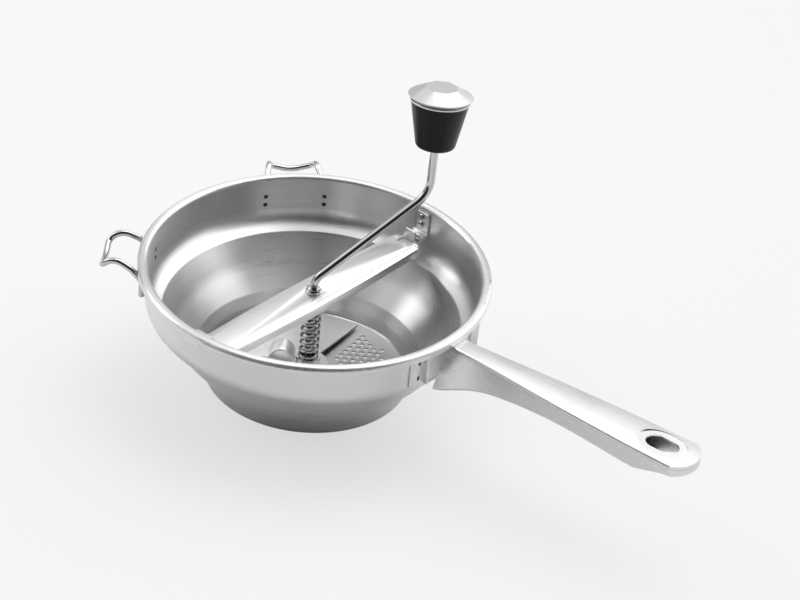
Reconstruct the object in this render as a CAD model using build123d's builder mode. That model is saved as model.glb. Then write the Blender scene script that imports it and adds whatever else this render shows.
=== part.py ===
"""Hand cranked tomato strainer (rotary food mill), as an assembly of separate pieces.

Frame: millimetres, +Z up, origin on the bowl's axis in the plane that the foot stands on.
+X runs out along the handle. The crossbar lies close to the Y axis.
"""
import os
from math import atan2, ceil, cos, degrees, hypot, pi, radians, sin, sqrt

from build123d import *

# ---------------------------------------------------------------- driving dimensions
# bowl
rim_d = 210.0                # over the rolled lip
bowl_h = 78.0                # foot to the top of the lip
bowl_t = 1.0                 # sheet thickness
lip_w = 6.0                  # lip's outside to the wall's inside
lip_drop = 4.5               # lip's top to its free edge
lip_bend = 2.3               # outside radius of the lip's curl
band_floor_h = 48.6          # where the upright band would meet the upper slope
band_bend = 12.0             # outside radius between band and slope
step_r = 90.4                # groove under the upright band
step_h = 42.8
cone_r = 69.4                # groove above the foot
cone_h = 14.2
cone_bulge = 1.5             # how far the cone bows out between the grooves
cone_bend = 36.0             # radius of that bow
collar_r = 65.6              # top of the foot's collar
collar_h = 8.0
foot_r = 62.5                # outside of the foot
groove_bend = 1.6
collar_bend = 5.0
seat_r = 56.0                # inner edge of the in-turned disc seat

# milling disc
disc_r = 59.6
disc_t = 0.9
disc_hole_r = 1.5
disc_pitch = 5.0
disc_plain_in = 17.0         # plain ring round the centre
disc_plain_out = 53.6        # plain border outside this radius
disc_spokes = 3              # plain radial strips
disc_spoke_w = 9.0
disc_spoke_azimuth = 95.0
eyelet_flange_r = 5.4
eyelet_flange_t = 0.7
eyelet_wall = 1.0

# crank
rod_d = 5.0
rod_foot_h = 1.3             # shaft's lower end, inside the disc's eyelet
pin_azimuth = 5.0
pin_h = 61.1
crank_azimuth = 64.0
crank_r = 72.4               # shaft axis to knob axis
crank_low_h = 67.1           # height of the lower bend's corner
crank_high_drop = 29.6       # upper bend's corner below the knob, along the knob's axis
crank_low_bend = 10.0
crank_high_bend = 18.0
collar_r_out = 3.7           # stop collar above the bearing bush
collar_len = 2.2
pin_r = 0.7                  # cross pin through collar and shaft
pin_len = 9.6

# crossbar
bar_azimuth = 85.5
bar_deck_h = 59.0            # top of the deck
bar_t = 1.4
bar_half_w = 12.8            # at the middle
bar_half_w_far = 10.2        # where the far taper starts
bar_taper_far_s = 84.0       # distance of that place from the shaft
bar_half_w_near = 10.9       # where the near taper starts
bar_taper_near_s = 78.0
bar_near_s = 82.0            # near end of the deck
bar_far_s = 88.0             # far end of the deck
bar_neck_half_w = 9.0
bar_neck = 5.0               # length over which the near end narrows to its tongue
bar_flange = 6.6             # flange's lower edge below the deck's top
bar_flange_t = 1.2
bar_shoulder = 3.6           # width of the pressed-down shoulders
bar_shoulder_drop = 0.7
tongue_half_w = 5.7
tongue_h = 71.6              # top of the near tongue, in the wall slot
tongue_ramp_end = 92.0
tongue_out = 3.0             # how far the near tongue stands out of the wall
slot_play = 0.5              # free play of the tongue in the wall slot
tab_h = 7.0                  # thumb tab above the deck
tab_half_w = 4.4
tab_s = 88.0
tab_window = 6.0             # window that the tab was bent out of
bush_flange_r = 5.0
bush_flange_t = 0.9
bush_sleeve_r = 3.7

# catch for the far end of the bar
catch_half_w = 5.8
catch_t = 1.2
catch_top_h = 74.0
catch_shelf = 8.0            # how far the shelf reaches in from the wall
catch_lip = 3.4              # upturned front of the shelf
catch_seat_gap = 0.2         # flat plate on the curved wall
rivet_r = 1.4
rivet_head_r = 2.1
rivet_head_t = 0.8
rivet_heights = (65.4, 70.8)

# spring and its seats
wire_d = 1.8
spring_r_top = 4.9           # mean radius
spring_r_low = 5.3
spring_turns_open = 8
spring_pitch_closed = 2.4
seat_washer_t = 1.1
top_washer_r = 6.8
cup_r = 7.6
cup_rim = 2.2
cup_bend = 0.8
hub_r = 6.6
hub_t = 1.8
hub_top_h = 9.0

# scraper
blade_t = 1.2
blade_plate_r = 12.4
blade_reach = 55.5
blade_azimuth = 214.0        # leading edge of the sloping sheet, with the arch
blade_spread = 120.0         # the sheet's sector, behind that edge
blade_slope = 2.6            # the sheet's slope in degrees, rising to the leading edge
blade_sheet_h = 5.5          # its underside, carried on to the shaft's axis
blade_sheet_r = 6.6          # its inner edge, clear of the nut
arch_s = 16.2               # arch over the leading edge, where food slips under
arch_half = 8.2
arch_top_h = 15.8
arch_foot_h = 5.6
arch_front = 2.0             # how far it stands before the leading edge
arch_back = 10.0             # and behind it
nut_af = 8.0
nut_h = 2.9

# knob
knob_low_h = 145.0
knob_lean = 8.0              # the knob's axis leans from upright
knob_lean_azimuth = 122.6    # towards this azimuth
knob_low_r = 11.6
knob_top_r = 17.3
knob_h = 30.2
knob_low_round = 3.0
ring_h = 1.4
ring_out = 0.5
ring_t = 1.2
cap_neck_r = 16.4
cap_neck_h = 0.7
cap_low_r = 17.9
cap_wide_r = 19.2
cap_wide_flat_r = 18.7       # flats of the faceted form at its wide end
cap_top_r = 10.2
cap_skirt_h = 1.5
cap_frustum_h = 5.2
cap_t = 1.0
cap_sides = 8
cap_turn = 7.6               # azimuth of one corner
cap_low_round = 15.0         # corner radius at the wide end
cap_top_round = 0.8
stop_washer_r = 4.2
stop_washer_t = 1.0
push_nut_r = 5.0
push_nut_t = 1.0

# handle
handle_end_x = 264.0
handle_t = 1.0
handle_top_h = 73.0          # top edge, just under the lip
handle_seam_drop = 1.9       # top edge to the seam between the shells
handle_seam_gap = 0.15
handle_end_r = 14.0          # length of the rounded end
handle_end_side = 15.0       # half width at which the rounding starts
handle_crown = 1.0           # crown at the hanging hole
handle_floor_end_h = 56.6    # underside where the floor stops
handle_side_end_h = 65.0     # sides' lower edge where the round end starts
handle_tip_h = 70.4          # ... and past the tip
# station: x, half width at the top, half width at the bottom, bottom height, crown
handle_stations = [
    (97.0, 6.0, 16.0, 45.5, 0.05),
    (108.0, 6.2, 13.0, 47.0, 0.2),
    (122.0, 7.0, 9.0, 51.8, 0.5),
    (145.0, 9.0, 7.4, 56.0, 0.8),
    (170.0, 11.2, 7.6, 58.0, 1.0),
    (198.0, 13.0, 8.6, 58.0, 1.1),
    (226.0, 14.2, 10.2, 57.2, 1.0),
    (240.0, 14.5, 10.8, 57.2, 0.9),
    (254.0, 14.6, 11.2, 57.2, 0.85),
    (270.0, 14.6, 11.5, 57.2, 0.8),
]
handle_corner = 1.6
handle_floor_end_x = 228.0   # the lower shell's floor stops here
hang_x = 241.5               # hanging hole
hang_len = 20.0
hang_w = 11.6
dish_len = 30.0              # dished ring round the hanging hole
dish_w = 21.5
dish_depth = 0.8
plate_t = 1.2                # mounting plate welded to the wall
plate_half_angle = 19.0
plate_low_h = 54.0
cheek_angle = 13.6           # the plate's two standing cheeks
cheek_out = 4.2
cheek_low_h = 55.5

# pot rest wires
rest_wire_d = 3.8
rest_azimuths = {"rest_wire_back": 135.5, "rest_wire_side": -146.4}
rest_leg_half = 18.7         # half the spacing of the legs on the wall
rest_leg_drop = 22.5         # rim's top to the legs' lower ends
rest_drop = 12.0             # rim's top to the wire's centre where it leaves the wall
rest_lip_out = 2.5           # wire's centre past the rim where it has passed under the lip
rest_lip_half = 17.0
rest_lip_rise = 6.4
rest_crest_out = 13.0        # ... at the wire's highest place
rest_crest_half = 15.1
rest_crest_rise = 11.6
rest_out = 19.8              # ... at the outer corners
rest_out_half = 14.0
rest_out_drop = 6.6          # corners below the crest
rest_dip = 3.4               # middle of the cross wire below its corners
rest_leg_bend = 4.0
rest_lip_bend = 8.0
rest_bend = 4.2
rest_crest_bend = 9.0
rest_dip_bend = 24.0

# fits
run_gap = 0.06               # radial clearance of what turns or slides on the rod
face_gap = 0.1               # axial clearance between turning faces
fix_gap = 0.02               # joint line of pieces fixed to each other
washer_play = 0.3            # radial play of the top washer on the shaft
lay_gap = 0.3                # wire or blade lying on something

# ---------------------------------------------------------------- derived values
rim_r = rim_d / 2
wall_in_r = rim_r - lip_w
wall_out_r = wall_in_r + bowl_t
rod_r = rod_d / 2
bore_r = rod_r + run_gap
grip_r = rod_r + fix_gap
disc_low_h = bowl_t
disc_top_h = disc_low_h + disc_t
bar_low_h = bar_deck_h - bar_t
bush_top_h = bar_deck_h + bush_flange_t
collar_low_h = bush_top_h + face_gap
washer_low_h = bar_low_h - seat_washer_t
cup_low_h = hub_top_h + face_gap
cup_top_h = cup_low_h + seat_washer_t
blade_plate_top_h = hub_top_h - hub_t
blade_plate_low_h = blade_plate_top_h - blade_t
plate_r = wall_out_r + fix_gap
handle_root_r = plate_r + plate_t + fix_gap
seam_h = handle_top_h - handle_seam_drop
knob_top_h = knob_low_h + knob_h
cap_foot_h = knob_top_h + fix_gap
cap_low_h = cap_foot_h + cap_neck_h
cap_wide_h = cap_low_h + cap_skirt_h
cap_top_h = cap_wide_h + cap_frustum_h
rod_top_h = cap_wide_h + cap_frustum_h / 4


def place(azimuth, radius, height):
    """Point at an azimuth, a radius and a height."""
    return Vector(radius * cos(radians(azimuth)), radius * sin(radians(azimuth)), height)


def turned(azimuth, height=0.0):
    """Level plane on the bowl's axis whose local X points along the azimuth."""
    along = (cos(radians(azimuth)), sin(radians(azimuth)), 0)
    return Plane(origin=(0, 0, height), x_dir=along, z_dir=(0, 0, 1))


def standing(azimuth):
    """Upright plane through the bowl's axis, local X along the azimuth and local Y up."""
    a = radians(azimuth)
    return Plane(origin=(0, 0, 0), x_dir=(cos(a), sin(a), 0), z_dir=(sin(a), -cos(a), 0))


def across(azimuth, distance, height):
    """Upright plane square to the azimuth, facing outwards, local Y up."""
    a = radians(azimuth)
    return Plane(origin=place(azimuth, distance, height), x_dir=(-sin(a), cos(a), 0),
                 z_dir=(cos(a), sin(a), 0))


def knob_plane(height):
    """Plane square to the knob's leaning axis; heights below its top are run along that axis."""
    lean, a = radians(knob_lean), radians(knob_lean_azimuth)
    up = Vector(sin(lean) * cos(a), sin(lean) * sin(a), cos(lean))
    spot = place(crank_azimuth, crank_r, knob_low_h) + up * (height - knob_low_h)
    return Plane(origin=spot, x_dir=(cos(lean), 0, -up.X), z_dir=up)


def wall_sector(inner_r, thickness, mid_azimuth, half_angle, low, high):
    """Piece of an upright tube wall, in the builder that is active."""
    with BuildSketch(turned(mid_azimuth, low)) as section:
        with BuildLine():
            a, b = radians(-half_angle), radians(half_angle)
            outer_r = inner_r + thickness
            low_in = (inner_r * cos(a), inner_r * sin(a))
            high_in = (inner_r * cos(b), inner_r * sin(b))
            low_out = (outer_r * cos(a), outer_r * sin(a))
            high_out = (outer_r * cos(b), outer_r * sin(b))
            ThreePointArc(low_in, (inner_r, 0), high_in)
            Line(high_in, high_out)
            ThreePointArc(high_out, (outer_r, 0), low_out)
            Line(low_out, low_in)
        make_face()
    extrude(section.sketch, amount=high - low)


def tube_along(points, radii, radius):
    """Round wire swept along straight runs joined by tangent arcs, in the active builder."""
    with BuildLine() as route:
        FilletPolyline(*points, radius=radii)
    with BuildSketch(Plane(origin=route.line @ 0, z_dir=route.line % 0)) as section:
        Circle(radius)
    sweep(section.sketch, path=route.line)


# ---------------------------------------------------------------- bowl
with BuildPart() as bowl:
    # middle line of the sheet, from the lip's free edge to the disc seat
    half = bowl_t / 2
    cone_run, cone_fall = step_r - cone_r, step_h - cone_h
    bulge = cone_bulge / hypot(cone_run, cone_fall)
    route = [
        (rim_r - half, bowl_h - lip_drop),
        (rim_r - half, bowl_h - half),
        (wall_in_r + half, bowl_h - half),
        (wall_in_r + half, band_floor_h),
        (step_r - half, step_h + half),
        ((step_r + cone_r) / 2 - half + bulge * cone_fall,
         (step_h + cone_h) / 2 + half - bulge * cone_run),
        (cone_r - half, cone_h + half),
        (collar_r - half, collar_h),
        (foot_r - half, half),
        (seat_r, half),
    ]
    lip_mid = lip_bend - half
    bends = [lip_mid, lip_mid, band_bend - half, groove_bend, cone_bend,
             groove_bend, collar_bend, groove_bend]
    with BuildSketch(Plane.XZ):
        with BuildLine():
            FilletPolyline(*route, radius=bends)
            offset(amount=half, kind=Kind.INTERSECTION, side=Side.BOTH)
        make_face()
    revolve(axis=Axis.Z)
    # slot for the crossbar's near tongue
    with BuildSketch(turned(bar_azimuth + 180, tongue_h - bar_t - slot_play)):
        with Locations(((wall_in_r + wall_out_r) / 2, 0)):
            Rectangle(4 * bowl_t, 2 * (tongue_half_w + slot_play))
    extrude(amount=bar_t + 2 * slot_play, mode=Mode.SUBTRACT)
    # rivet holes of the catch
    for rivet_h in rivet_heights:
        with BuildSketch(across(bar_azimuth, wall_in_r - bowl_t, rivet_h)):
            Circle(rivet_r + fix_gap)
        extrude(amount=3 * bowl_t, mode=Mode.SUBTRACT)
bowl.part.label = "bowl"


# ---------------------------------------------------------------- milling disc
def disc_holes():
    """Centres of the staggered holes, without the plain centre, border and strips."""
    row_step = disc_pitch * sqrt(3) / 2
    rows = ceil(disc_plain_out / row_step)
    columns = ceil(disc_plain_out / disc_pitch)
    spots = []
    for row in range(-rows, rows + 1):
        for column in range(-columns, columns + 1):
            u = (column + 0.5 * (row % 2)) * disc_pitch
            v = row * row_step
            r = hypot(u, v)
            if not disc_plain_in + disc_hole_r < r < disc_plain_out - disc_hole_r:
                continue
            step = 2 * pi / disc_spokes
            off = (atan2(v, u) + step / 2) % step - step / 2
            if r * abs(sin(off)) > disc_spoke_w / 2 + disc_hole_r:
                spots.append((u, v))
    return spots


with BuildPart() as milling_disc:
    with BuildSketch(turned(disc_spoke_azimuth, disc_low_h)):
        Circle(disc_r)
        Circle(bore_r + eyelet_wall + fix_gap, mode=Mode.SUBTRACT)
        with Locations(*disc_holes()):
            Circle(disc_hole_r, mode=Mode.SUBTRACT)
    extrude(amount=disc_t)
milling_disc.part.label = "milling_disc"

with BuildPart() as disc_eyelet:
    with BuildSketch(Plane.XY.offset(disc_low_h)):
        Circle(bore_r + eyelet_wall)
    extrude(amount=disc_t + fix_gap)
    with BuildSketch(Plane.XY.offset(disc_top_h + fix_gap)):
        Circle(eyelet_flange_r)
    extrude(amount=eyelet_flange_t)
    chamfer(disc_eyelet.edges().group_by(Axis.Z)[-1], eyelet_flange_t / 2)
    with BuildSketch(Plane.XY):
        Circle(bore_r)
    extrude(amount=bowl_h, mode=Mode.SUBTRACT)
disc_eyelet.part.label = "disc_eyelet"


# ---------------------------------------------------------------- crossbar
def deck_edge(inset=0.0):
    """Deck's long edge in the active line, in the bar's own directions; returns its ends."""
    near = (-bar_taper_near_s, bar_half_w_near - inset)
    far = (bar_taper_far_s, bar_half_w_far - inset)
    ThreePointArc(near, (0, bar_half_w - inset), far)
    return near, far


def edge_bands(width, low, height, mode=Mode.ADD):
    """Both bands of this width along the deck's long edges, in the active builder."""
    with BuildSketch(turned(bar_azimuth, low)) as bands:
        with BuildLine():
            near, far = deck_edge()
            near_in, far_in = deck_edge(width)
            Line(near, near_in)
            Line(far, far_in)
        make_face()
        mirror(about=Plane.XZ)
    extrude(bands.sketch, amount=height, mode=mode)


with BuildPart() as crossbar:
    near_s = wall_out_r + tongue_out
    far_s = wall_in_r - catch_t - lay_gap
    half = bar_t / 2
    # side view of the sheet: near tongue, ramp, deck, far tongue
    with BuildSketch(standing(bar_azimuth)):
        with BuildLine():
            FilletPolyline(
                (-near_s, tongue_h - half),
                (-tongue_ramp_end, tongue_h - half),
                (-bar_near_s, bar_deck_h - half),
                (far_s, bar_deck_h - half),
                radius=[3 * bar_t, 3 * bar_t],
            )
            offset(amount=half, kind=Kind.INTERSECTION, side=Side.BOTH)
        make_face()
    extrude(amount=bar_half_w, both=True)
    # plan view of the same sheet
    with BuildSketch(turned(bar_azimuth, bar_deck_h - bar_flange)):
        with BuildLine():
            near, far = deck_edge()
            Polyline(far, (bar_far_s, tongue_half_w), (far_s, tongue_half_w), (far_s, 0))
            Polyline(near, (-bar_near_s, bar_neck_half_w),
                     (-bar_near_s - bar_neck, tongue_half_w), (-near_s, tongue_half_w),
                     (-near_s, 0))
            mirror(about=Plane.XZ)
        make_face()
    extrude(amount=2 * bowl_h, mode=Mode.INTERSECT)
    # pressed-down shoulders along the deck's long edges, flanges under them
    edge_bands(bar_shoulder, bar_deck_h - bar_shoulder_drop, bar_t, Mode.SUBTRACT)
    edge_bands(bar_shoulder, bar_low_h - bar_shoulder_drop, bar_t)
    edge_bands(bar_flange_t, bar_deck_h - bar_flange, bar_flange - bar_shoulder_drop)
    # bush hole, thumb tab and the window it was bent out of
    with BuildSketch(turned(bar_azimuth, bar_deck_h - bar_flange)):
        Circle(bush_sleeve_r + fix_gap)
        with Locations((tab_s - bar_t - tab_window / 2, 0)):
            Rectangle(tab_window, 2 * tab_half_w)
    extrude(amount=2 * bar_flange, mode=Mode.SUBTRACT)
    with BuildSketch(across(bar_azimuth, tab_s - bar_t, bar_low_h)):
        with Locations((0, (bar_t + tab_h) / 2)):
            RectangleRounded(2 * tab_half_w, bar_t + tab_h, bar_t)
    extrude(amount=bar_t)
crossbar.part.label = "crossbar"

with BuildPart() as bar_catch:
    # side view: plate on the wall, shelf over the tongue, upturned front
    half = catch_t / 2
    back_s = wall_in_r - catch_seat_gap - half
    shelf_h = bar_deck_h + face_gap + half
    with BuildSketch(standing(bar_azimuth)):
        with BuildLine():
            FilletPolyline(
                (back_s, catch_top_h),
                (back_s, shelf_h),
                (back_s - catch_shelf, shelf_h),
                (back_s - catch_shelf - half, shelf_h + catch_lip),
                radius=[catch_t, catch_t],
            )
            offset(amount=half, kind=Kind.INTERSECTION, side=Side.BOTH)
        make_face()
    extrude(amount=catch_half_w, both=True)
    # rounded upper corners
    with BuildSketch(across(bar_azimuth, wall_in_r - 2 * catch_shelf, catch_top_h / 2)):
        RectangleRounded(2 * catch_half_w, catch_top_h, catch_half_w / 2)
    extrude(amount=3 * catch_shelf, mode=Mode.INTERSECT)
    for rivet_h in rivet_heights:
        with BuildSketch(across(bar_azimuth, wall_in_r - 3 * catch_t, rivet_h)):
            Circle(rivet_r + fix_gap)
        extrude(amount=3 * catch_t, mode=Mode.SUBTRACT)
bar_catch.part.label = "bar_catch"

with BuildPart() as catch_rivets:
    inner_s = wall_in_r - catch_seat_gap - catch_t - fix_gap
    outer_s = wall_out_r + fix_gap
    for rivet_h in rivet_heights:
        with BuildSketch(across(bar_azimuth, inner_s - rivet_head_t, rivet_h)):
            Circle(rivet_r)
        extrude(amount=outer_s - inner_s + 2 * rivet_head_t)
        with BuildSketch(across(bar_azimuth, inner_s - rivet_head_t, rivet_h),
                         across(bar_azimuth, outer_s, rivet_h)):
            Circle(rivet_head_r)
        extrude(amount=rivet_head_t)
    ends = catch_rivets.edges().filter_by(GeomType.CIRCLE).group_by(
        Axis((0, 0, 0), tuple(place(bar_azimuth, 1, 0))))
    chamfer([*ends[0], *ends[-1]], rivet_head_t / 2)
catch_rivets.part.label = "catch_rivets"

with BuildPart() as bar_bushing:
    with BuildSketch(Plane.XY.offset(bar_low_h)):
        Circle(bush_sleeve_r)
    extrude(amount=bar_t)
    with BuildSketch(Plane.XY.offset(bar_deck_h + fix_gap)):
        Circle(bush_flange_r)
    extrude(amount=bush_flange_t)
    chamfer(bar_bushing.edges().group_by(Axis.Z)[-1], bush_flange_t / 3)
    with BuildSketch(Plane.XY.offset(bar_low_h)):
        Circle(bush_sleeve_r)
        Circle(bore_r, mode=Mode.SUBTRACT)
    extrude(amount=bar_t + fix_gap)
    with BuildSketch(Plane.XY):
        Circle(bore_r)
    extrude(amount=bowl_h, mode=Mode.SUBTRACT)
bar_bushing.part.label = "bar_bushing"


# ---------------------------------------------------------------- spring and seats
def ring(low, height, outer, inner):
    """Flat ring on the shaft's axis, in the active builder."""
    with BuildSketch(Plane.XY.offset(low)) as section:
        Circle(outer)
        Circle(inner, mode=Mode.SUBTRACT)
    extrude(section.sketch, amount=height)


with BuildPart() as spring_top_washer:
    ring(washer_low_h, seat_washer_t - fix_gap, top_washer_r, rod_r + washer_play)
spring_top_washer.part.label = "spring_top_washer"

with BuildPart() as spring_seat_cup:
    ring(cup_low_h, seat_washer_t, cup_r, bore_r)
    ring(cup_low_h, seat_washer_t + cup_rim, cup_r, cup_r - seat_washer_t)
    fillet(spring_seat_cup.edges().group_by(Axis.Z)[0].sort_by(SortBy.LENGTH)[-1], cup_bend)
spring_seat_cup.part.label = "spring_seat_cup"

spring_low = cup_top_h + lay_gap / 2 + wire_d / 2
spring_high = washer_low_h - lay_gap / 2 - wire_d / 2
spring_turns = spring_turns_open + 2
closed_rise = spring_pitch_closed
open_pitch = (spring_high - spring_low - 2 * closed_rise) / spring_turns_open


def spring_point(turn):
    """Middle of the wire after a number of turns from the lower end, and its direction."""
    height, slope = spring_low, 0.0
    if turn < 1:
        height += closed_rise * turn
        slope = closed_rise
    elif turn < 1 + spring_turns_open:
        height += closed_rise + open_pitch * (turn - 1)
        slope = open_pitch
    else:
        height = spring_high - closed_rise * (spring_turns - turn)
        slope = closed_rise
    share = turn / spring_turns
    radius = spring_r_low + (spring_r_top - spring_r_low) * share
    narrowing = (spring_r_top - spring_r_low) / spring_turns
    angle = 2 * pi * turn
    spot = Vector(radius * cos(angle), radius * sin(angle), height)
    heading = Vector(
        narrowing * cos(angle) - 2 * pi * radius * sin(angle),
        narrowing * sin(angle) + 2 * pi * radius * cos(angle),
        slope,
    ).normalized()
    return spot, heading


def biarc(start, start_heading, end, end_heading):
    """Two arcs that meet with one tangent, from start to end, for the active line."""
    chord = end - start
    total = start_heading + end_heading
    a = 2 * (start_heading.dot(end_heading) - 1)
    b = -2 * chord.dot(total)
    c = chord.dot(chord)
    reach = (-b - sqrt(b * b - 4 * a * c)) / (2 * a) if abs(a) > 1e-9 else -c / b
    reach = abs(reach)
    joint = (start + start_heading * reach + end - end_heading * reach) / 2
    first = TangentArc(start, joint, tangent=start_heading)
    TangentArc(joint, end, tangent=first % 1)


with BuildPart() as spring:
    with BuildLine() as coil:
        spot, heading = spring_point(0)
        lead_in = spot - heading * wire_d
        Line(lead_in, spot)
        quarters = 4 * spring_turns
        for quarter in range(quarters):
            next_spot, next_heading = spring_point((quarter + 1) / 4)
            biarc(spot, heading, next_spot, next_heading)
            spot, heading = next_spot, next_heading
        Line(spot, spot + heading * wire_d)
    with BuildSketch(Plane(origin=coil.line @ 0, z_dir=coil.line % 0)):
        Circle(wire_d / 2)
    sweep(path=coil.line)
spring.part.label = "spring"


def spring_least_gap():
    """Least clear space between the wire and its own other turns, on points along it."""
    steps_per_turn = 48
    points = [spring_point(i / steps_per_turn)[0] for i in range(spring_turns * steps_per_turn + 1)]
    least = bowl_h
    for i, a in enumerate(points):
        for b in points[i + steps_per_turn // 2:]:
            least = min(least, (a - b).length)
    return least - wire_d


# ---------------------------------------------------------------- crank
with BuildPart() as crank_rod:
    tube_along(
        [
            (0, 0, rod_foot_h),
            (0, 0, crank_low_h),
            knob_plane(knob_low_h - crank_high_drop).origin,
            knob_plane(rod_top_h).origin,
        ],
        [crank_low_bend, crank_high_bend],
        rod_r,
    )
    with BuildSketch(across(pin_azimuth, -pin_len, pin_h)):
        Circle(pin_r + fix_gap)
    extrude(amount=2 * pin_len, mode=Mode.SUBTRACT)
crank_rod.part.label = "crank_rod"

with BuildPart() as crank_collar:
    ring(collar_low_h, collar_len, collar_r_out, grip_r)
    chamfer(crank_collar.edges().group_by(Axis.Z)[-1].sort_by(SortBy.LENGTH)[-1], collar_len / 5)
    with BuildSketch(across(pin_azimuth, -pin_len, pin_h)):
        Circle(pin_r + fix_gap)
    extrude(amount=2 * pin_len, mode=Mode.SUBTRACT)
crank_collar.part.label = "crank_collar"

with BuildPart() as collar_pin:
    with BuildSketch(across(pin_azimuth, -pin_len / 2, pin_h)):
        Circle(pin_r)
    extrude(amount=pin_len)
    fillet(collar_pin.edges().filter_by(GeomType.CIRCLE), pin_r / 3)
collar_pin.part.label = "collar_pin"

with BuildPart() as blade_hub:
    ring(blade_plate_top_h + fix_gap, hub_t - fix_gap, hub_r, grip_r)
    chamfer(blade_hub.edges().group_by(Axis.Z)[-1].sort_by(SortBy.LENGTH)[-1], hub_t / 5)
blade_hub.part.label = "blade_hub"


# ---------------------------------------------------------------- scraper
def sloping_sheet():
    """Sector of a disc that rises gently to its leading edge."""
    a, b = radians(-blade_spread), 0.0
    with BuildPart() as sheet:
        with BuildSketch(turned(blade_azimuth)) as sector:
            with BuildLine():
                Line((blade_sheet_r, 0), (blade_reach, 0))
                ThreePointArc((blade_reach * cos(b), blade_reach * sin(b)),
                              (blade_reach * cos(a / 2), blade_reach * sin(a / 2)),
                              (blade_reach * cos(a), blade_reach * sin(a)))
                Line((blade_reach * cos(a), blade_reach * sin(a)),
                     (blade_sheet_r * cos(a), blade_sheet_r * sin(a)))
                ThreePointArc((blade_sheet_r * cos(a), blade_sheet_r * sin(a)),
                              (blade_sheet_r * cos(a / 2), blade_sheet_r * sin(a / 2)),
                              (blade_sheet_r * cos(b), blade_sheet_r * sin(b)))
            make_face()
        extrude(sector.sketch, amount=bowl_h)
        rise = blade_azimuth - blade_spread / 2 + 90
        with BuildSketch(standing(rise)) as side_view:
            run = 2 * blade_reach
            drop = run * sin(radians(blade_slope))
            with BuildLine():
                Polyline((-run, blade_sheet_h - drop), (run, blade_sheet_h + drop),
                         (run, blade_sheet_h + drop + blade_t),
                         (-run, blade_sheet_h - drop + blade_t), close=True)
            make_face()
        extrude(side_view.sketch, amount=run, both=True, mode=Mode.INTERSECT)
    return sheet.part


def arch():
    """Arched strip over the leading edge."""
    with BuildPart() as strip:
        with BuildSketch(standing(blade_azimuth)) as front:
            with Locations((arch_s, arch_foot_h)):
                Ellipse(arch_half, arch_top_h - arch_foot_h)
                Ellipse(arch_half - blade_t, arch_top_h - arch_foot_h - blade_t,
                        mode=Mode.SUBTRACT)
            with Locations((arch_s, arch_foot_h - bowl_h / 2)):
                Rectangle(4 * arch_half, bowl_h, mode=Mode.SUBTRACT)
        extrude(front.sketch, amount=-arch_front)
        extrude(front.sketch, amount=arch_back)
    return strip.part


with BuildPart() as scraper_blade:
    ring(blade_plate_low_h, blade_t, blade_plate_r, grip_r)
    add(sloping_sheet())
    add(arch())
scraper_blade.part.label = "scraper_blade"

with BuildPart() as blade_nut:
    with BuildSketch(Plane.XY.offset(blade_plate_low_h - fix_gap - nut_h)):
        RegularPolygon(radius=nut_af / 2, side_count=6, major_radius=False)
        Circle(grip_r, mode=Mode.SUBTRACT)
    extrude(amount=nut_h)
blade_nut.part.label = "blade_nut"


# ---------------------------------------------------------------- knob
with BuildPart() as knob_grip:
    with BuildSketch(knob_plane(knob_low_h)):
        Circle(knob_low_r)
    with BuildSketch(knob_plane(knob_top_h - ring_h)):
        Circle(knob_top_r)
    loft()
    fillet(knob_grip.edges().group_by(Axis.Z)[0], knob_low_round)
    with BuildSketch(knob_plane(knob_top_h - ring_h)):
        Circle(knob_top_r - ring_t)
    extrude(amount=ring_h)
    with BuildSketch(knob_plane(knob_low_h)):
        Circle(bore_r)
    extrude(amount=knob_h, mode=Mode.SUBTRACT)
knob_grip.part.label = "knob_grip"

with BuildPart() as knob_ring:
    with BuildSketch(knob_plane(knob_top_h - ring_h + fix_gap)):
        Circle(knob_top_r + ring_out)
        Circle(knob_top_r - ring_t + fix_gap, mode=Mode.SUBTRACT)
    extrude(amount=ring_h - fix_gap)
    fillet(knob_ring.edges().sort_by(SortBy.LENGTH)[-2:], ring_h / 4)
knob_ring.part.label = "knob_ring"

with BuildPart() as knob_cap:
    with BuildSketch(knob_plane(cap_foot_h)):
        Circle(cap_neck_r)
    extrude(amount=cap_neck_h)
    with BuildSketch(knob_plane(cap_low_h)):
        Circle(cap_low_r)
    with BuildSketch(knob_plane(cap_wide_h)):
        Circle(cap_wide_r)
    loft()
    with BuildSketch(knob_plane(cap_wide_h)):
        RegularPolygon(radius=cap_wide_flat_r, side_count=cap_sides, major_radius=False,
                       rotation=cap_turn)
        fillet(vertices(), cap_low_round)
    with BuildSketch(knob_plane(cap_top_h)):
        RegularPolygon(radius=cap_top_r, side_count=cap_sides, rotation=cap_turn)
        fillet(vertices(), cap_top_round)
    loft()
    # hollow inside, over the rod's end
    with BuildSketch(knob_plane(cap_foot_h)):
        Circle(cap_neck_r - cap_t)
    with BuildSketch(knob_plane(cap_wide_h)):
        Circle(cap_neck_r - cap_t)
    with BuildSketch(knob_plane(cap_top_h - cap_t)):
        Circle(cap_top_r - 2 * cap_t)
    loft(ruled=True, mode=Mode.SUBTRACT)
knob_cap.part.label = "knob_cap"

with BuildPart() as knob_stop_washer:
    with BuildSketch(knob_plane(knob_low_h - face_gap - stop_washer_t)):
        Circle(stop_washer_r)
        Circle(grip_r, mode=Mode.SUBTRACT)
    extrude(amount=stop_washer_t)
knob_stop_washer.part.label = "knob_stop_washer"

with BuildPart() as knob_push_nut:
    with BuildSketch(knob_plane(knob_top_h + face_gap)):
        Circle(push_nut_r)
        Circle(grip_r, mode=Mode.SUBTRACT)
    extrude(amount=push_nut_t)
knob_push_nut.part.label = "knob_push_nut"


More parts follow.
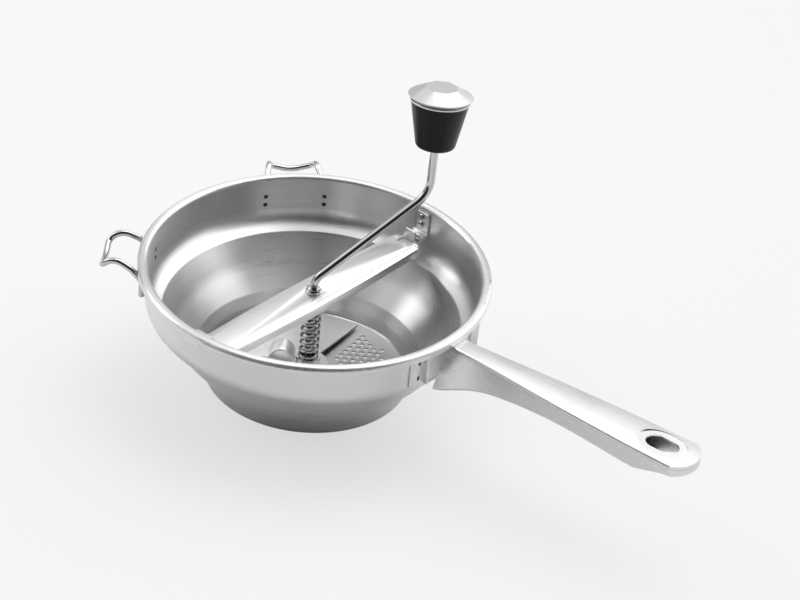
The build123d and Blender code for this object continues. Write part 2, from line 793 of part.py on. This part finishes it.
# ---------------------------------------------------------------- handle
def plan_outline(inset):
    """Handle's outline from above, for the active sketch: straight sides, round end."""
    reach, side = handle_end_x - inset, handle_end_side - inset
    with BuildLine() as edge:
        turn_x = handle_end_x - handle_end_r
        ThreePointArc((turn_x, side), (reach, 0), (turn_x, -side))
        Polyline((turn_x, side), (0, side), (0, -side), (turn_x, -side))
    make_face(edge.line.edges())


def handle_form(inset=0.0):
    """Closed form of both handle shells, or of their hollow when inset by the sheet."""
    with BuildPart() as form:
        for x, top_half, low_half, low_h, crown in handle_stations:
            with BuildSketch(Plane.YZ.offset(x)):
                with BuildLine():
                    ThreePointArc((top_half, handle_top_h), (0, handle_top_h + crown),
                                  (-top_half, handle_top_h))
                    Polyline((-top_half, handle_top_h), (-low_half, low_h),
                             (low_half, low_h), (top_half, handle_top_h))
                make_face()
                fillet(vertices(), handle_corner)
                if inset:
                    offset(amount=-inset)
        loft()
        with BuildSketch():
            plan_outline(inset)
        extrude(amount=2 * bowl_h, mode=Mode.INTERSECT)
    return form.part


def hang_hole():
    """Hanging hole's prism, cut from the active part."""
    with BuildSketch(Plane.XY.offset(seam_h)) as outline:
        with Locations((hang_x, 0)):
            SlotOverall(hang_len, hang_w)
    extrude(outline.sketch, amount=bowl_h, mode=Mode.SUBTRACT)


def root_cut():
    """Space of the bowl, its lip and the mounting plate, cut from the active part."""
    with BuildSketch() as outline:
        Circle(handle_root_r)
    extrude(outline.sketch, amount=2 * bowl_h, mode=Mode.SUBTRACT)
    with BuildSketch(Plane.XY.offset(bowl_h - lip_drop - lay_gap)) as lip_outline:
        Circle(rim_r + lay_gap)
    extrude(lip_outline.sketch, amount=bowl_h, mode=Mode.SUBTRACT)


with BuildPart() as handle_upper_shell:
    add(handle_form())
    add(handle_form(handle_t), mode=Mode.SUBTRACT)
    split(bisect_by=Plane.XY.offset(seam_h + handle_seam_gap / 2), keep=Keep.TOP)
    dish_floor = handle_top_h + handle_crown - dish_depth
    with BuildSketch(Plane.XY.offset(dish_floor - handle_t)):
        with Locations((hang_x, 0)):
            Ellipse(dish_len / 2 + handle_t, dish_w / 2 + handle_t)
    extrude(amount=handle_t)
    with BuildSketch(Plane.XY.offset(dish_floor)):
        with Locations((hang_x, 0)):
            Ellipse(dish_len / 2, dish_w / 2)
    extrude(amount=bowl_h, mode=Mode.SUBTRACT)
    hang_hole()
    root_cut()
handle_upper_shell.part.label = "handle_upper_shell"

with BuildPart() as handle_lower_shell:
    add(handle_form())
    add(handle_form(handle_t), mode=Mode.SUBTRACT)
    split(bisect_by=Plane.XY.offset(seam_h - handle_seam_gap / 2), keep=Keep.BOTTOM)
    # open underside near the end, its sides running up to the tip
    with BuildSketch(Plane.XZ):
        with BuildLine():
            Polyline(
                (handle_floor_end_x, 0),
                (handle_floor_end_x, handle_floor_end_h),
                (handle_end_x - handle_end_r, handle_side_end_h),
                (handle_end_x + handle_end_r, handle_tip_h),
                (handle_end_x + handle_end_r, 0),
                close=True,
            )
        make_face()
    extrude(amount=2 * handle_end_side, both=True, mode=Mode.SUBTRACT)
    root_cut()
handle_lower_shell.part.label = "handle_lower_shell"

with BuildPart() as handle_mount_plate:
    wall_sector(plate_r, plate_t, 0, plate_half_angle, plate_low_h, handle_top_h)
    for side in (-1, 1):
        with BuildSketch(turned(side * cheek_angle, cheek_low_h)):
            with Locations((plate_r + plate_t / 2 + cheek_out / 2, 0)):
                Rectangle(cheek_out + plate_t / 2, plate_t)
        extrude(amount=handle_top_h - cheek_low_h)
handle_mount_plate.part.label = "handle_mount_plate"


# ---------------------------------------------------------------- pot rests
def rest_wire(azimuth, label):
    """Bent wire with both legs welded to the wall, bowed out to lie on a pot's rim."""
    leg_r = wall_out_r + fix_gap + rest_wire_d / 2
    leg_off = degrees(atan2(rest_leg_half, sqrt(leg_r ** 2 - rest_leg_half ** 2)))
    rest_leg_low_h = bowl_h - rest_leg_drop
    rest_h = bowl_h - rest_drop
    out_h = rest_h + rest_crest_rise - rest_out_drop

    def spot(radius, half_width, height, side):
        off = degrees(atan2(half_width, radius))
        return place(azimuth + side * off, hypot(radius, half_width), height)

    def half_route(side):
        return [
            place(azimuth + side * leg_off, leg_r, rest_leg_low_h),
            place(azimuth + side * leg_off, leg_r, rest_h),
            spot(rim_r + rest_lip_out, rest_lip_half, rest_h + rest_lip_rise, side),
            spot(rim_r + rest_crest_out, rest_crest_half, rest_h + rest_crest_rise, side),
            spot(rim_r + rest_out, rest_out_half, out_h, side),
        ]

    middle = place(azimuth, rim_r + rest_out, out_h - rest_dip)
    route = [*half_route(-1), middle, *reversed(half_route(1))]
    half_bends = [rest_leg_bend, rest_lip_bend, rest_crest_bend, rest_bend]
    with BuildPart() as wire:
        tube_along(route, [*half_bends, rest_dip_bend, *reversed(half_bends)], rest_wire_d / 2)
    wire.part.label = label
    return wire


rests = [rest_wire(azimuth, label) for label, azimuth in rest_azimuths.items()]

# ---------------------------------------------------------------- files
parts = [
    bowl, milling_disc, disc_eyelet, crossbar, bar_catch, catch_rivets, bar_bushing,
    spring_top_washer, spring, spring_seat_cup, crank_rod, crank_collar, collar_pin,
    blade_hub, scraper_blade, blade_nut, knob_grip, knob_ring, knob_cap,
    knob_stop_washer, knob_push_nut, handle_upper_shell, handle_lower_shell,
    handle_mount_plate, *rests,
]

os.makedirs("parts", exist_ok=True)
for piece in parts:
    export_step(piece.part, f"parts/{piece.part.label}.step")
print(f"spring: {spring_turns} turns, least gap to itself {spring_least_gap():.2f} mm")
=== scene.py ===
"""Looks of a hand cranked tomato strainer: its finishes, its finer pieces and a pale studio round it."""
from math import cos, radians, sin

import bpy
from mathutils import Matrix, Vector


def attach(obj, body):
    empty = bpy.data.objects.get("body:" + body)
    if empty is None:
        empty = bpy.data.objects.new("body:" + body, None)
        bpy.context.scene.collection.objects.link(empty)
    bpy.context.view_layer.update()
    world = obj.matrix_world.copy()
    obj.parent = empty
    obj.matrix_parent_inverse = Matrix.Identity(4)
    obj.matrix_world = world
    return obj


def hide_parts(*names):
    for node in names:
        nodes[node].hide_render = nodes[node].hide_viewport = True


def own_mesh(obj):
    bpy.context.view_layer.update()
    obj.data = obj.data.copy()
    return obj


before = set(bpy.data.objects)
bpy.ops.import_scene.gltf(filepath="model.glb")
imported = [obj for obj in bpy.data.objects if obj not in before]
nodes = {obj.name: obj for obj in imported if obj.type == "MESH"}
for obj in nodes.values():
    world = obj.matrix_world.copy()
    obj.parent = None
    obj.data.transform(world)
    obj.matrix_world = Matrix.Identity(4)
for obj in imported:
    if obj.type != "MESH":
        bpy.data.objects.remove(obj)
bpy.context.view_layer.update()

MM = 0.001

# places and sizes that the CAD model gives, in millimetres and degrees
BAR_AZIMUTH = 85.5
WALL_IN_R = 99.0
PLATE_OUT_R = 101.22          # outside of the handle's mounting plate
REST_AZIMUTHS = {"back": 135.5, "side": -146.4}
REST_LEG_ANGLE = 10.8         # from a rest's middle to each of its legs
REST_WELD_HEIGHTS = (64.5, 58.6)
PLATE_WELD_AZIMUTHS = (-15.6, 15.6)
PLATE_WELD_HEIGHTS = (58.6, 69.0)

# new pieces
MERGE_GAP = 0.000002          # loose corners nearer than this are one corner
FLAT_ANGLE = radians(0.6)     # triangles that meet at less than this are one face
EDGE_ANGLE = radians(35)      # edges sharper than this are rounded
EDGE_SEGMENTS = 2
MARK_STAND_OFF = 0.04         # weld mark off its wall
REST_MARK = (1.45, 1.45)      # half sizes across and up
PLATE_MARK = (0.85, 1.7)

# studio
BACKGROUND = 0.905            # the paper's brightness as the camera sees it
FLOOR_SHADOW = 0.3            # share of the lit floor that the camera sees


def point(azimuth, radius, height):
    """Point in metres at an azimuth in degrees, a radius and a height in millimetres."""
    a = radians(azimuth)
    return Vector((radius * cos(a), radius * sin(a), height)) * MM


# ---------------------------------------------------------------- camera
lens = bpy.data.cameras.new("camera")
lens.sensor_width = 36
lens.lens = 103.5
camera = bpy.data.objects.new("camera", lens)
camera.location = (0.66316, -0.92288, 0.82414)
camera.rotation_euler = (radians(55.872), radians(-5.263), radians(36.652))
bpy.context.scene.collection.objects.link(camera)
bpy.context.scene.camera = camera


# ---------------------------------------------------------------- shader values
class Value:
    """A node's output that adds Math nodes when it is used in Python expressions."""

    def __init__(self, wiring, socket):
        self.wiring = wiring
        self.socket = socket

    def math(self, operation, *others):
        return self.wiring.node("ShaderNodeMath", {"operation": operation}, *others)

    def __add__(self, other):
        return self.math("ADD", self, other)

    def __sub__(self, other):
        return self.math("SUBTRACT", self, other)

    def __rsub__(self, other):
        return self.math("SUBTRACT", other, self)

    def __mul__(self, other):
        return self.math("MULTIPLY", self, other)

    def __truediv__(self, other):
        return self.math("DIVIDE", self, other)

    def __pow__(self, other):
        return self.math("POWER", self, other)

    __radd__ = __add__


class Wiring:
    """The nodes of one material or world."""

    def __init__(self, owner):
        owner.use_nodes = True
        self.owner = owner
        self.tree = owner.node_tree
        self.tree.nodes.clear()

    def node(self, kind, settings=None, *sockets, output=0, **named):
        """Adds a node, sets its settings, then its sockets by order or by name, and returns an output."""
        made = self.tree.nodes.new(kind)
        for key, value in (settings or {}).items():
            setattr(made, key, value)
        pairs = list(enumerate(sockets)) + [(k.replace("_", " "), v) for k, v in named.items()]
        for key, value in pairs:
            if isinstance(value, Value):
                self.tree.links.new(value.socket, made.inputs[key])
            else:
                made.inputs[key].default_value = value
        if made.outputs:
            return Value(self, made.outputs[output])

    def place(self):
        """X, Y and Z of the place on the object, in metres."""
        spot = self.node("ShaderNodeTexCoord", output="Object")
        made = self.tree.nodes.new("ShaderNodeSeparateXYZ")
        self.tree.links.new(spot.socket, made.inputs[0])
        return [Value(self, made.outputs[i]) for i in range(3)]

    def vector(self, x, y, z):
        return self.node("ShaderNodeCombineXYZ", None, x, y, z)

    def noise(self, vector, scale, detail=2.0, roughness=0.5):
        return self.node("ShaderNodeTexNoise", {"noise_dimensions": "3D"},
                         Vector=vector, Scale=scale, Detail=detail, Roughness=roughness)

    def spread(self, value, low, high, to_low=0.0, to_high=1.0):
        """Maps low..high to to_low..to_high, and holds beyond."""
        return self.node("ShaderNodeMapRange", {"interpolation_type": "SMOOTHSTEP"}, value,
                         low, high, to_low, to_high)

    def bump(self, height, strength, distance):
        """Surface direction of a relief of this depth in metres."""
        return self.node("ShaderNodeBump", None, Strength=strength, Distance=distance, Height=height)

    def grey(self, value):
        """Colour of equal parts."""
        return self.node("ShaderNodeCombineColor", None, value, value, value)

    def finish(self, **named):
        surface = self.node("ShaderNodeBsdfPrincipled", None, **named)
        self.node("ShaderNodeOutputMaterial", None, Surface=surface)
        return self.owner


def wiring(name):
    return Wiring(bpy.data.materials.new(name))


# ---------------------------------------------------------------- finishes
def satin(name, shade, roughness, streaks, anisotropy=0.0, depth=0.02, contrast=0.08):
    """Brushed steel. streaks gives the vector in which noise draws the brush lines."""
    w = wiring(name)
    x, y, z = w.place()
    lines = streaks(w, x, y, z)
    fine = w.noise(lines, 1.0, detail=3.0, roughness=0.65)
    broad = w.noise(w.vector(x, y, z), 28.0, detail=3.0)
    tone = shade + (fine - 0.5) * contrast + (broad - 0.5) * 0.05
    return w.finish(Base_Color=w.grey(tone), Metallic=1.0,
                    Roughness=(fine - 0.5) * 0.18 + (broad - 0.5) * 0.12 + roughness,
                    Anisotropic=anisotropy, Anisotropic_Rotation=0.25,
                    Normal=w.bump(fine, depth, 0.0003))


def round_lines(w, x, y, z):
    """Brush lines that run round the bowl's axis."""
    r = (x * x + y * y) ** 0.5
    along = r + z
    return w.vector(along * 2600.0, x / r * 2.5, y / r * 2.5)


def bar_lines(w, x, y, z):
    """Brush lines along the crossbar."""
    a = radians(BAR_AZIMUTH)
    along = x * cos(a) + y * sin(a)
    side = y * cos(a) - x * sin(a)
    return w.vector(along * 45.0, side * 1900.0, z * 1900.0)


def handle_lines(w, x, y, z):
    """Brush lines along the handle."""
    return w.vector(x * 40.0, y * 1700.0, z * 1700.0)


def polished(name, shade, roughness):
    """Bright steel with faint smears."""
    w = wiring(name)
    x, y, z = w.place()
    smear = w.noise(w.vector(x, y, z), 160.0, detail=4.0)
    fine = w.noise(w.vector(x, y, z), 2200.0, detail=2.0)
    return w.finish(Base_Color=w.grey(shade + (smear - 0.5) * 0.06), Metallic=1.0,
                    Roughness=(smear - 0.5) * 0.08 + roughness, Normal=w.bump(fine, 0.02, 0.0002))


def moulded_black():
    """Dull black plastic with a fine grain."""
    w = wiring("moulded_black")
    x, y, z = w.place()
    grain = w.noise(w.vector(x, y, z), 3500.0, detail=2.0)
    broad = w.noise(w.vector(x, y, z), 90.0, detail=3.0)
    return w.finish(Base_Color=w.grey(0.006 + broad * 0.004), Specular_IOR_Level=0.22,
                    Roughness=(broad - 0.5) * 0.12 + 0.36, Normal=w.bump(grain, 0.06, 0.0002))


def scorched_steel():
    """Steel darkened by a weld."""
    w = wiring("scorched_steel")
    x, y, z = w.place()
    soot = w.noise(w.vector(x, y, z), 1800.0)
    return w.finish(Base_Color=w.grey(0.035 + soot * 0.05), Metallic=0.6, Roughness=0.5)


bowl_steel = satin("bowl_steel", 0.72, 0.31, round_lines, anisotropy=0.93, contrast=0.22)
disc_steel = satin("disc_steel", 0.6, 0.34, round_lines, anisotropy=0.2)
blade_steel = satin("blade_steel", 0.8, 0.42, bar_lines)
bar_steel = satin("bar_steel", 0.82, 0.36, bar_lines)
handle_steel = satin("handle_steel", 0.68, 0.28, handle_lines, depth=0.01, contrast=0.05)
cap_metal = satin("cap_metal", 0.56, 0.5, bar_lines, depth=0.01, contrast=0.03)
bright_steel = polished("bright_steel", 0.52, 0.06)
spring_steel = polished("spring_steel", 0.34, 0.05)
grip_plastic = moulded_black()
weld_steel = scorched_steel()

FINISHES = {
    bowl_steel: ["bowl", "handle_mount_plate"],
    disc_steel: ["milling_disc", "disc_eyelet"],
    blade_steel: ["scraper_blade"],
    bar_steel: ["crossbar", "bar_catch"],
    handle_steel: ["handle_upper_shell", "handle_lower_shell"],
    cap_metal: ["knob_cap"],
    spring_steel: ["spring"],
    grip_plastic: ["knob_grip"],
    bright_steel: ["catch_rivets", "bar_bushing", "spring_top_washer", "spring_seat_cup",
                   "crank_rod", "crank_collar", "collar_pin", "blade_hub", "blade_nut",
                   "knob_ring", "knob_stop_washer", "knob_push_nut", "rest_wire_back",
                   "rest_wire_side"],
}


def wear(piece, finish):
    """Gives a piece this finish alone."""
    piece.data.materials.clear()
    piece.data.materials.append(finish)


for finish, names in FINISHES.items():
    for name in names:
        wear(nodes[name], finish)


# ---------------------------------------------------------------- pieces made from the CAD forms
def alone(piece):
    """Selects only this piece and makes it active."""
    bpy.ops.object.select_all(action="DESELECT")
    piece.select_set(True)
    bpy.context.view_layer.objects.active = piece


def merged_copy(node, name):
    """Copy of a CAD node's mesh with its loose triangles joined."""
    piece = bpy.data.objects.new(name, nodes[node].data.copy())
    bpy.context.scene.collection.objects.link(piece)
    alone(piece)
    bpy.ops.object.mode_set(mode="EDIT")
    bpy.ops.mesh.select_all(action="SELECT")
    bpy.ops.mesh.remove_doubles(threshold=MERGE_GAP)
    bpy.ops.object.mode_set(mode="OBJECT")
    return piece


def eased(node, body, width):
    """The node's form with its sharp edges rounded, in its place."""
    piece = merged_copy(node, node + "_eased")
    bpy.ops.object.mode_set(mode="EDIT")
    bpy.ops.mesh.select_all(action="SELECT")
    bpy.ops.mesh.dissolve_limited(angle_limit=FLAT_ANGLE)
    bpy.ops.object.mode_set(mode="OBJECT")
    bevel = piece.modifiers.new("eased", "BEVEL")
    bevel.width = width * MM
    bevel.segments = EDGE_SEGMENTS
    bevel.limit_method = "ANGLE"
    bevel.angle_limit = EDGE_ANGLE
    bpy.ops.object.modifier_apply(modifier=bevel.name)
    bpy.ops.object.shade_smooth_by_angle(angle=radians(32))
    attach(piece, body)
    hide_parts(node)


coil = merged_copy("spring", "spring_coil")
bpy.ops.object.shade_smooth()
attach(coil, "strainer")
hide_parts("spring")
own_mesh(coil)

eased("crossbar", "strainer", 0.3)
eased("bar_catch", "strainer", 0.25)
eased("handle_mount_plate", "strainer", 0.25)
eased("bar_bushing", "strainer", 0.15)
eased("scraper_blade", "crank", 0.2)


# ---------------------------------------------------------------- weld marks
def pressed_mark(place, facing, size):
    """Shallow dished mark: its middle, the direction it faces, and its half sizes across and up."""
    turn = Vector(facing).to_track_quat("Z", "Y").to_euler()
    bpy.ops.object.select_all(action="DESELECT")
    bpy.ops.mesh.primitive_circle_add(vertices=20, radius=MM, fill_type="NGON", location=place,
                                      rotation=turn)
    mark = bpy.context.object
    mark.scale = (size[0], size[1], 1)
    bpy.ops.object.transform_apply(location=True, rotation=True, scale=True)
    bpy.ops.object.mode_set(mode="EDIT")
    bpy.ops.mesh.select_all(action="SELECT")
    bpy.ops.mesh.inset(thickness=0.25 * MM, depth=0.12 * MM)
    bpy.ops.mesh.inset(thickness=0.3 * MM, depth=-0.1 * MM)
    bpy.ops.object.mode_set(mode="OBJECT")
    return mark


def joined(marks, name):
    """Makes one piece of these marks."""
    bpy.ops.object.select_all(action="DESELECT")
    for mark in marks:
        mark.select_set(True)
    bpy.context.view_layer.objects.active = marks[0]
    bpy.ops.object.join()
    piece = bpy.context.object
    piece.name = name
    wear(piece, weld_steel)
    bpy.ops.object.shade_smooth_by_angle(angle=radians(30))
    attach(piece, "strainer")


for rest, middle in REST_AZIMUTHS.items():
    marks = []
    for azimuth in (middle - REST_LEG_ANGLE, middle + REST_LEG_ANGLE):
        inward = point(azimuth + 180, 1, 0)
        for height in REST_WELD_HEIGHTS:
            on_wall = point(azimuth, WALL_IN_R - MARK_STAND_OFF, height)
            marks.append(pressed_mark(on_wall, inward, REST_MARK))
    joined(marks, "spot_welds_" + rest)

marks = []
for azimuth in PLATE_WELD_AZIMUTHS:
    outward = point(azimuth, 1, 0)
    for height in PLATE_WELD_HEIGHTS:
        on_plate = point(azimuth, PLATE_OUT_R + MARK_STAND_OFF, height)
        marks.append(pressed_mark(on_plate, outward, PLATE_MARK))
joined(marks, "spot_welds_plate")

# ---------------------------------------------------------------- studio
PAPER = (BACKGROUND, BACKGROUND, BACKGROUND, 1)

bpy.ops.mesh.primitive_plane_add(size=12, location=(0, 0, 0))
floor = bpy.context.object
floor.name = "floor"
w = wiring("pale_floor")
lit = w.node("ShaderNodeBsdfDiffuse", None, Color=(0.9, 0.9, 0.9, 1))
even = w.node("ShaderNodeEmission", None, Color=PAPER, Strength=1.0)
faint = w.node("ShaderNodeMixShader", None, FLOOR_SHADOW, even, lit)
seen = w.node("ShaderNodeLightPath", output="Is Camera Ray")
shown = w.node("ShaderNodeMixShader", None, seen, lit, faint)
w.node("ShaderNodeOutputMaterial", None, Surface=shown)
floor.data.materials.append(w.owner)

world = bpy.data.worlds.new("studio")
bpy.context.scene.world = world
w = Wiring(world)
direction = w.node("ShaderNodeTexCoord", output="Generated")


def panel(azimuth, elevation, soft_edge, hard_edge):
    """Round patch of the sky, 1 inside and 0 outside; both edges in degrees from its middle."""
    a, e = radians(azimuth), radians(elevation)
    aim = (cos(a) * cos(e), sin(a) * cos(e), sin(e))
    facing = w.node("ShaderNodeVectorMath", {"operation": "DOT_PRODUCT"}, direction, aim, output=1)
    return w.spread(facing, cos(radians(soft_edge)), cos(radians(hard_edge)))


overhead = panel(150, 78, 52, 34)
left_window = panel(-158, 32, 34, 27)
far_wall = panel(120, 12, 62, 40)
right_window = panel(65, 34, 44, 28)
back_gap = panel(-55, 68, 17, 12)
dark_room = panel(-50, 20, 66, 40)
lit_sky = 0.3 + overhead * 0.65 + left_window * 0.3 + far_wall * 0.35 + right_window * 1.3
glow = lit_sky * (1 - dark_room * 0.9) * (1 - back_gap * 0.7)
sky = w.node("ShaderNodeBackground", None, Color=w.grey(glow), Strength=1.0)
plain = w.node("ShaderNodeBackground", None, Color=PAPER, Strength=1.0)
seen = w.node("ShaderNodeLightPath", output="Is Camera Ray")
w.node("ShaderNodeOutputWorld", None, Surface=w.node("ShaderNodeMixShader", None, seen, sky, plain))


def softbox(name, place, aim, width, height, power):
    """Square lamp at a place, turned towards another."""
    lamp = bpy.data.lights.new(name, "AREA")
    lamp.shape = "RECTANGLE"
    lamp.size, lamp.size_y, lamp.energy = width, height, power
    box = bpy.data.objects.new(name, lamp)
    box.location = place
    box.rotation_euler = (Vector(aim) - Vector(place)).to_track_quat("-Z", "Y").to_euler()
    bpy.context.scene.collection.objects.link(box)


softbox("top_light", (-0.2, 0.5, 1.7), (0.05, 0, 0.05), 1.2, 1.0, 7)
softbox("left_light", (-1.6, -0.5, 1.0), (0, 0, 0.05), 0.8, 0.8, 5)

bpy.context.scene.view_settings.view_transform = "Standard"
